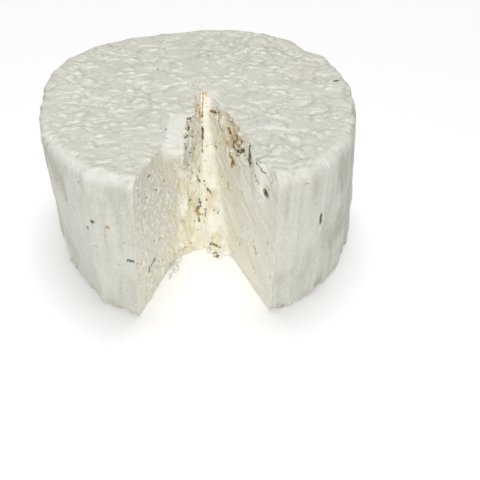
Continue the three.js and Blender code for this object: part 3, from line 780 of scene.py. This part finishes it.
def build_wheel():
    """The wheel's whole surface: vertices, faces, each face's kind, and its named point values."""
    left, left_looks = notch_wall("left")
    right, right_looks = notch_wall("right")
    side, side_looks = round_side()
    top = end_disc(TOP_CELLS, -1, top_height, side, left, right)
    foot = end_disc(FOOT_CELLS, 0, foot_height, side, left, right)
    top_looks = sink_marks(top)
    foot_mould, foot_rust, _ = marked("foot", foot[:, 0], foot[:, 1], foot)
    blocks = [top, foot, side[:, :-1].reshape(-1, 3), right.reshape(-1, 3), left[1:].reshape(-1, 3)]
    firsts = np.cumsum([0] + [len(block) for block in blocks])
    top_faces, top_left, top_right, top_rim = disc_numbers(0, TOP_CELLS)
    foot_faces, foot_left, foot_right, foot_rim = disc_numbers(firsts[1], FOOT_CELLS)
    side_numbers = firsts[2] + np.arange(len(side) * SIDE_ROWS).reshape(len(side), SIDE_ROWS)
    side_numbers = np.concatenate([side_numbers, top_rim[:, None]], 1)
    right_numbers = firsts[3] + np.arange(right[..., 0].size).reshape(right.shape[:2])
    left_numbers = firsts[4] + np.arange(left[1:, :, 0].size).reshape(WALL_COLUMNS, WALL_ROWS + 1)
    left_numbers = np.concatenate([right_numbers[:1], left_numbers])
    foot_seam = zipped(side_numbers[:, 0], np.linspace(0, 1, len(side)),
                       foot_rim, np.linspace(0, 1, len(foot_rim)))
    skin = [top_faces, foot_faces[:, ::-1], quads(side_numbers), foot_seam,
            sewn(right_numbers, top_right, side_numbers[0], foot_right)[:, ::-1],
            sewn(left_numbers, top_left, side_numbers[-1], foot_left)]
    paste = [quads(right_numbers), quads(left_numbers)[:, ::-1]]
    kinds = np.repeat([0, 1, 2], [sum(map(len, skin)), len(paste[0]), len(paste[1])])
    looks = (
        top_looks,
        {"mould": foot_mould, "rust": foot_rust},
        {name: value[:, :-1] for name, value in side_looks.items()},
        right_looks,
        {name: value[1:] for name, value in left_looks.items()},
    )
    values = {}
    for name in ("depth", "fresh_and_lit", "torn", "mould", "rust"):
        values[name] = [np.ravel(look.get(name, np.zeros(len(block)))) for look, block in zip(looks, blocks)]
    return np.concatenate(blocks), np.concatenate(skin + paste), kinds, values


def add_mesh(name, points, faces, kinds, values, materials):
    """Object at the origin from points in mm round the drum's axis; its place is in its mesh."""
    mesh = bpy.data.meshes.new(name)
    placed = (points + np.array([AXIS[0], AXIS[1], 0])) * MM
    mesh.from_pydata(placed.tolist(), [], faces.tolist())
    for material in materials:
        mesh.materials.append(material)
    mesh.polygons.foreach_set("material_index", kinds.astype(np.int32))
    mesh.polygons.foreach_set("use_smooth", np.ones(len(faces), bool))
    for value_name, parts in values.items():
        attribute = mesh.attributes.new(value_name, "FLOAT", "POINT")
        attribute.data.foreach_set("value", np.concatenate(parts).astype(np.float32))
    mesh.update()
    piece = bpy.data.objects.new(name, mesh)
    bpy.context.scene.collection.objects.link(piece)
    return piece


# The colours, light to dark: the skin by its painted shade (in its wrinkles, on its far sides, towards the
# back) and its rim's painted highlight, the paste by its curds' height, and the two stains by how near a
# point is to their middle.
SKIN = ((0.0, (0.75, 0.75, 0.69)), (0.45, (0.66, 0.653, 0.573)), (1.0, (0.49, 0.475, 0.395)))
PASTE = ((0.0, (0.90, 0.885, 0.81)), (0.5, (0.84, 0.82, 0.73)), (1.0, (0.74, 0.70, 0.56)))
TORN_PASTE = ((0.0, (0.90, 0.885, 0.81)), (0.5, (0.85, 0.82, 0.70)), (1.0, (0.74, 0.65, 0.46)))
# Fresh paste's white, which also paints light onto the right cut's swell, and the chipped skin's white.
FRESH_AND_LIT_PASTE, CHIPPED = (0.93, 0.925, 0.875), (0.81, 0.80, 0.73)
MOULD = ((0.4, (0.50, 0.53, 0.42)), (0.65, (0.20, 0.22, 0.145)), (1.0, (0.05, 0.055, 0.028)))
RUST = ((0.3, (0.78, 0.66, 0.44)), (0.6, (0.48, 0.34, 0.15)), (1.0, (0.10, 0.06, 0.02)))
RUST_COVER, MOULD_COVER = (0.22, 0.5), (0.36, 0.52)   # closeness at which a stain starts and is whole
SPECKLE_SIZE, SPECKLE_DETAIL = 1.6, 5        # of the noise that breaks the stains up, in mm
DRAWN_LENGTH = 7                             # of the drawn grain, in its own widths
SOAK_WEIGHT, SOAK_COLOUR, SOAK_DEPTH = 0.2, (1.0, 0.85, 0.6), 1.2   # how light enters, in mm
WHITENED = 0.9                               # how much of the fresh paste's colour shows, also as painted light on the swell
SHINE_SPREAD = 0.24                          # how far the roughness varies over a surface


def node(tree, kind, inputs, **settings):
    """A shader node with its settings made, and its inputs linked or given a value."""
    made = tree.nodes.new(kind)
    for name, value in settings.items():
        setattr(made, name, value)
    for name, value in inputs.items():
        if isinstance(value, bpy.types.NodeSocket):
            tree.links.new(value, made.inputs[name])
        else:
            made.inputs[name].default_value = value
    return made


def grain(tree, place, size, detail=3):
    """Noise whose lumps are about size millimetres across."""
    inputs = {"Vector": place, "Scale": 1 / (size * MM), "Detail": detail, "Roughness": 0.6}
    return node(tree, "ShaderNodeTexNoise", inputs).outputs["Fac"]


def crumpled(tree, place, size):
    """Height 0 to 1 of pillows between narrow creases: how far noise is from its middle."""
    centred = weighted(tree, -2.0, (grain(tree, place, size, 1), 4))
    away = node(tree, "ShaderNodeMath", {0: centred}, operation="ABSOLUTE").outputs[0]
    return node(tree, "ShaderNodeMath", {0: away, 1: 0.6}, operation="POWER", use_clamp=True).outputs[0]


def value_of(tree, name):
    """The mesh's own named point value."""
    return node(tree, "ShaderNodeAttribute", {}, attribute_name=name).outputs["Fac"]


def weighted(tree, start, *terms):
    """A start number plus each term's socket times its weight, a number or a socket."""
    total = start
    for socket, weight in terms:
        made = node(tree, "ShaderNodeMath", {0: socket, 1: weight, 2: total}, operation="MULTIPLY_ADD")
        total = made.outputs[0]
    return total


def ramp(tree, factor, stops):
    """Colour that passes evenly through the stops as the factor rises."""
    made = node(tree, "ShaderNodeValToRGB", {"Fac": factor})
    elements = made.color_ramp.elements
    for at, _ in stops[2:]:
        elements.new(at)
    for element, (at, colour) in zip(elements, stops):
        element.position, element.color = at, (*colour, 1)
    return made.outputs["Color"]


def mixed(tree, factor, first, second):
    """Colour between two, nearer the second as the factor rises."""
    return node(tree, "ShaderNodeMix", {0: factor, 6: first, 7: second}, data_type="RGBA").outputs[2]


def stained(tree, place, colour):
    """The colour with rust and then mould over it, their edges broken up by a fine noise. Rust
    fades out softly."""
    speckle = weighted(tree, -0.5, (grain(tree, place, SPECKLE_SIZE, SPECKLE_DETAIL), 3.0))
    for name, stops, (low, high) in (("rust", RUST, RUST_COVER), ("mould", MOULD, MOULD_COVER)):
        near = weighted(tree, 0.0, (value_of(tree, name), speckle))
        cover = node(tree, "ShaderNodeMapRange", {"Value": near, "From Min": low, "From Max": high},
                     interpolation_type="SMOOTHSTEP").outputs[0]
        colour = mixed(tree, cover, colour, ramp(tree, near, stops))
    return colour


def cheese_material(name, colour_at, turn, roughness, bumps):
    """Moist cheese that lets a little light in. colour_at gives its colour, turn lays its drawn
    grain, and each bump is a pattern, its size and its height in mm."""
    material = bpy.data.materials.new(name)
    material.use_nodes = True
    tree = material.node_tree
    place = node(tree, "ShaderNodeTexCoord", {}).outputs["Object"]
    stretch = {"Vector": place, "Rotation": turn, "Scale": (1, 1, DRAWN_LENGTH)}
    drawn = node(tree, "ShaderNodeMapping", stretch, vector_type="TEXTURE").outputs[0]
    total = 0.0
    for pattern, size, height in bumps:
        if pattern == "crumpled":
            raised = crumpled(tree, place, size)
        else:
            raised = grain(tree, drawn if pattern == "drawn" else place, size, 2)
        total = weighted(tree, total, (raised, height * MM))
    surface = node(tree, "ShaderNodeBump", {"Strength": 1, "Distance": 1, "Height": total})
    shine = weighted(tree, roughness - SHINE_SPREAD / 2, (grain(tree, place, 3), SHINE_SPREAD))
    shader = tree.nodes["Principled BSDF"]
    tree.links.new(stained(tree, place, colour_at(tree, place, drawn)), shader.inputs["Base Color"])
    tree.links.new(shine, shader.inputs["Roughness"])
    tree.links.new(surface.outputs[0], shader.inputs["Normal"])
    shader.inputs["Subsurface Weight"].default_value = SOAK_WEIGHT
    shader.inputs["Subsurface Radius"].default_value = SOAK_COLOUR
    shader.inputs["Subsurface Scale"].default_value = SOAK_DEPTH * MM
    return material


def skin_colour(tree, place, drawn):
    """Greyish white, with painted shade in the wrinkles and creases, on the far sides and towards the back,
    and a painted highlight on the front of the rim; faint streaks and blotches; white where chipped.
    """
    # The depth value and the crumpled creases paint shade into the colour, and the depth value paints the
    # rim's highlight.
    shade = weighted(tree, -0.34, (value_of(tree, "depth"), 0.75), (grain(tree, place, 17), 0.35),
                     (grain(tree, drawn, 2.4), 0.5), (grain(tree, place, 6), 0.3),
                     (crumpled(tree, place, 3.2), -0.25))
    return mixed(tree, value_of(tree, "fresh_and_lit"), ramp(tree, shade, SKIN), (*CHIPPED, 1))


def paste_colour(tree, place, drawn):
    """Creamy white, whiter on proud curds, yellower where torn, white where freshly broken and where painted
    light whitens the right cut's swell.
    """
    shade = weighted(tree, -0.68, (value_of(tree, "depth"), 0.5), (grain(tree, place, 9), 0.2),
                     (grain(tree, drawn, 1.6), 0.6), (grain(tree, drawn, 3.6), 0.6),
                     (grain(tree, place, 1.4), 0.5), (value_of(tree, "torn"), -0.1))
    colour = mixed(tree, value_of(tree, "torn"), ramp(tree, shade, PASTE), ramp(tree, shade, TORN_PASTE))
    whiter = weighted(tree, 0.0, (value_of(tree, "fresh_and_lit"), WHITENED))
    return mixed(tree, whiter, colour, (*FRESH_AND_LIT_PASTE, 1))


def smear_turn():
    """Turn that lays the grain's long axis along the right cut's smears."""
    out = math.radians(RIGHT_CUT)
    run = Vector((math.cos(out), math.sin(out), SMEAR_SLOPE))
    return tuple(run.to_track_quat("Z", "Y").to_euler())


UPRIGHT = (0, 0, 0)
skin = cheese_material("skin", skin_colour, UPRIGHT, 0.42,
                       (("drawn", 1.6, 0.16), ("crumpled", 3.2, 0.2)))
left_paste = cheese_material("left_paste", paste_colour, UPRIGHT, 0.45,
                             (("drawn", 1.4, 0.15), ("grained", 1.8, 0.22)))
right_paste = cheese_material("right_paste", paste_colour, smear_turn(), 0.45,
                              (("drawn", 2.4, 0.55), ("grained", 1.6, 0.3)))

wheel_points, wheel_faces, wheel_kinds, wheel_values = build_wheel()
wheel = add_mesh("wheel", wheel_points, wheel_faces, wheel_kinds, wheel_values,
                 [skin, right_paste, left_paste])
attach(wheel, "root")
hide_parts("cheese_wheel")

# Crumbs of curd that the knife and the tear left: most cling half sunk to the notch's walls,
# and the rest lie along its foot. Each is an uneven lump of the same white paste.
CLINGING = {2: (560, (64, 42)), 1: (170, (60, 84))}   # wall's kind: how many, and where they are thickest
CLINGING_WIDE, CLINGING_HIGH = 28, 32        # reach of that thick patch along and up the wall
CLINGING_SIZES = (0.3, 0.85)                 # radius in mm
CRUMB_PUSH, CRUMB_STRETCH = 0.4, (0.7, 1.25)          # how uneven they are, and how unlike in shape
CRUMB_DEPTH = 0.7                            # largest value of the depth that tints them
FALLEN_REST = 0.75                           # height of a fallen one's middle, in its radii
FLOOR_GAP = 0.02                             # height of its flat underside
FALLEN = (                                   # from, to, how many, how far astray, largest radius, rust
    ((6.2, -29.0), (9.0, -31.5), 12, 0.7, 2.0, 0.0), ((10.2, -31.5), (14, -37), 12, 0.7, 1.2, 0.8),
    ((-12.4, -35.5), (-15.2, -51), 60, 0.9, 1.7, 0.15), ((-15.6, -52), (-17.5, -60), 12, 0.4, 0.9, 0.2),
    ((-10, -33), (1, -27), 14, 0.6, 0.9, 0.3),
)


def clinging_places(draw):
    """Points of both walls drawn at random, more in some patches and where they are thickest."""
    places = []
    for kind, (count, at) in CLINGING.items():
        wall = wheel_points[np.unique(wheel_faces[wheel_kinds == kind])]
        distance = np.linalg.norm(wall[:, :2] - APEX, axis=-1)
        patch = step(0, 0.5, noise(wall[:, 1] / 8, wall[:, 2] / 8, kind + 0.5))
        thick = 0.1 + patch * (0.4 + 2 * oval(distance, wall[:, 2], at, CLINGING_WIDE, CLINGING_HIGH))
        places.append(wall[draw.choice(len(wall), count, replace=False, p=thick / thick.sum())])
    return np.concatenate(places)


def fallen_places(draw):
    """Centres, radii and rust of the crumbs at the foot, strewn along straight runs and resting
    on the floor."""
    rows = []
    for start, end, count, astray, largest, rust in FALLEN:
        share = draw.random((count, 1))
        plan = np.array(start) * (1 - share) + np.array(end) * share + draw.normal(0, astray, (count, 2))
        size = largest * draw.uniform(0.35, 1, (count, 1)) ** 1.5
        rows.append(np.concatenate([plan, FALLEN_REST * size, size, rust * draw.random((count, 1))], 1))
    rows = np.concatenate(rows)
    return rows[:, :3], rows[:, 3], rows[:, 4]


def crumb_mesh(places, sizes, draw):
    """Points and triangles of a small ball at each place, stretched three ways and pushed in and
    out by noise, and flat where it meets the floor."""
    ball = bmesh.new()
    bmesh.ops.create_icosphere(ball, subdivisions=2, radius=1)
    directions = np.array([corner.co[:] for corner in ball.verts])
    triangles = np.array([[corner.index for corner in face.verts] for face in ball.faces])
    ball.free()
    own = 10.0 * np.arange(len(places))[:, None, None]
    push = 1 + CRUMB_PUSH * noise(*np.moveaxis(1.5 * directions + own, -1, 0))
    stretch = draw.uniform(*CRUMB_STRETCH, (len(places), 1, 3))
    points = places[:, None] + (sizes[:, None] * push)[..., None] * stretch * directions
    points[..., 2] = np.maximum(points[..., 2], FLOOR_GAP)
    faces = triangles + len(directions) * np.arange(len(places))[:, None, None]
    return points.reshape(-1, 3), faces.reshape(-1, 3)


crumb_draw = np.random.default_rng(11)
wall_places = clinging_places(crumb_draw)
floor_places, floor_sizes, floor_rust = fallen_places(crumb_draw)
wall_sizes = crumb_draw.uniform(0, 1, len(wall_places)) ** 2
wall_sizes = CLINGING_SIZES[0] + (CLINGING_SIZES[1] - CLINGING_SIZES[0]) * wall_sizes
crumb_points, crumb_faces = crumb_mesh(
    np.concatenate([wall_places, floor_places]), np.concatenate([wall_sizes, floor_sizes]), crumb_draw)
crumb_rust = np.concatenate([np.zeros(len(wall_places)), floor_rust])
corners_each = len(crumb_points) // len(crumb_rust)
crumb_values = {
    "depth": [np.repeat(crumb_draw.uniform(0, CRUMB_DEPTH, len(crumb_rust)), corners_each)],
    "rust": [np.repeat(crumb_rust, corners_each)],
}
crumb_paste = cheese_material("crumb_paste", paste_colour, UPRIGHT, 0.5, (("grained", 0.7, 0.12),))
crumb_kinds = np.zeros(len(crumb_faces))
crumbs = add_mesh("crumbs", crumb_points, crumb_faces, crumb_kinds, crumb_values, [crumb_paste])
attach(crumbs, "root")

# Plain pale floor and soft studio light: a sheet overhead and a smaller one high in front.
# The surround is dim, so that the front light still draws the wrinkles.
FLOOR_SIZE = 12.0
FLOOR_COLOUR = (0.98, 0.98, 0.98, 1)
FRONT_LIGHT = ("front_light", (0.05, -4.0, 3.2), 1.6, 143)   # name, place and size in metres, watts
TOP_LIGHT = ("top_light", (0, 0.8, 5.2), 3.0, 168)
LIGHT_AIM = (0, 0, 0.05)
SURROUND = 0.15                              # strength of the white surround


def make_floor():
    """Flat pale sheet under the wheel."""
    reach = FLOOR_SIZE / 2
    mesh = bpy.data.meshes.new("floor")
    mesh.from_pydata([(-reach, -reach, 0), (reach, -reach, 0), (reach, reach, 0), (-reach, reach, 0)],
                     [], [(0, 1, 2, 3)])
    material = bpy.data.materials.new("floor")
    material.use_nodes = True
    shader = material.node_tree.nodes["Principled BSDF"]
    shader.inputs["Base Color"].default_value = FLOOR_COLOUR
    shader.inputs["Roughness"].default_value = 0.9
    mesh.materials.append(material)
    floor = bpy.data.objects.new("floor", mesh)
    bpy.context.scene.collection.objects.link(floor)


def add_light(name, place, size, power):
    """Square soft light at a place in metres, aimed at the middle of the wheel."""
    data = bpy.data.lights.new(name, "AREA")
    data.energy, data.size = power, size
    light = bpy.data.objects.new(name, data)
    aim = Vector(LIGHT_AIM) - Vector(place)
    light.location = place
    light.rotation_mode = "QUATERNION"
    light.rotation_quaternion = aim.to_track_quat("-Z", "Y")
    bpy.context.scene.collection.objects.link(light)


make_floor()
add_light(*FRONT_LIGHT)
add_light(*TOP_LIGHT)
world = bpy.data.worlds.new("surround")
bpy.context.scene.world = world
world.use_nodes = True
world.node_tree.nodes["Background"].inputs["Color"].default_value = (1, 1, 1, 1)
world.node_tree.nodes["Background"].inputs["Strength"].default_value = SURROUND
bpy.context.scene.view_settings.view_transform = "Standard"
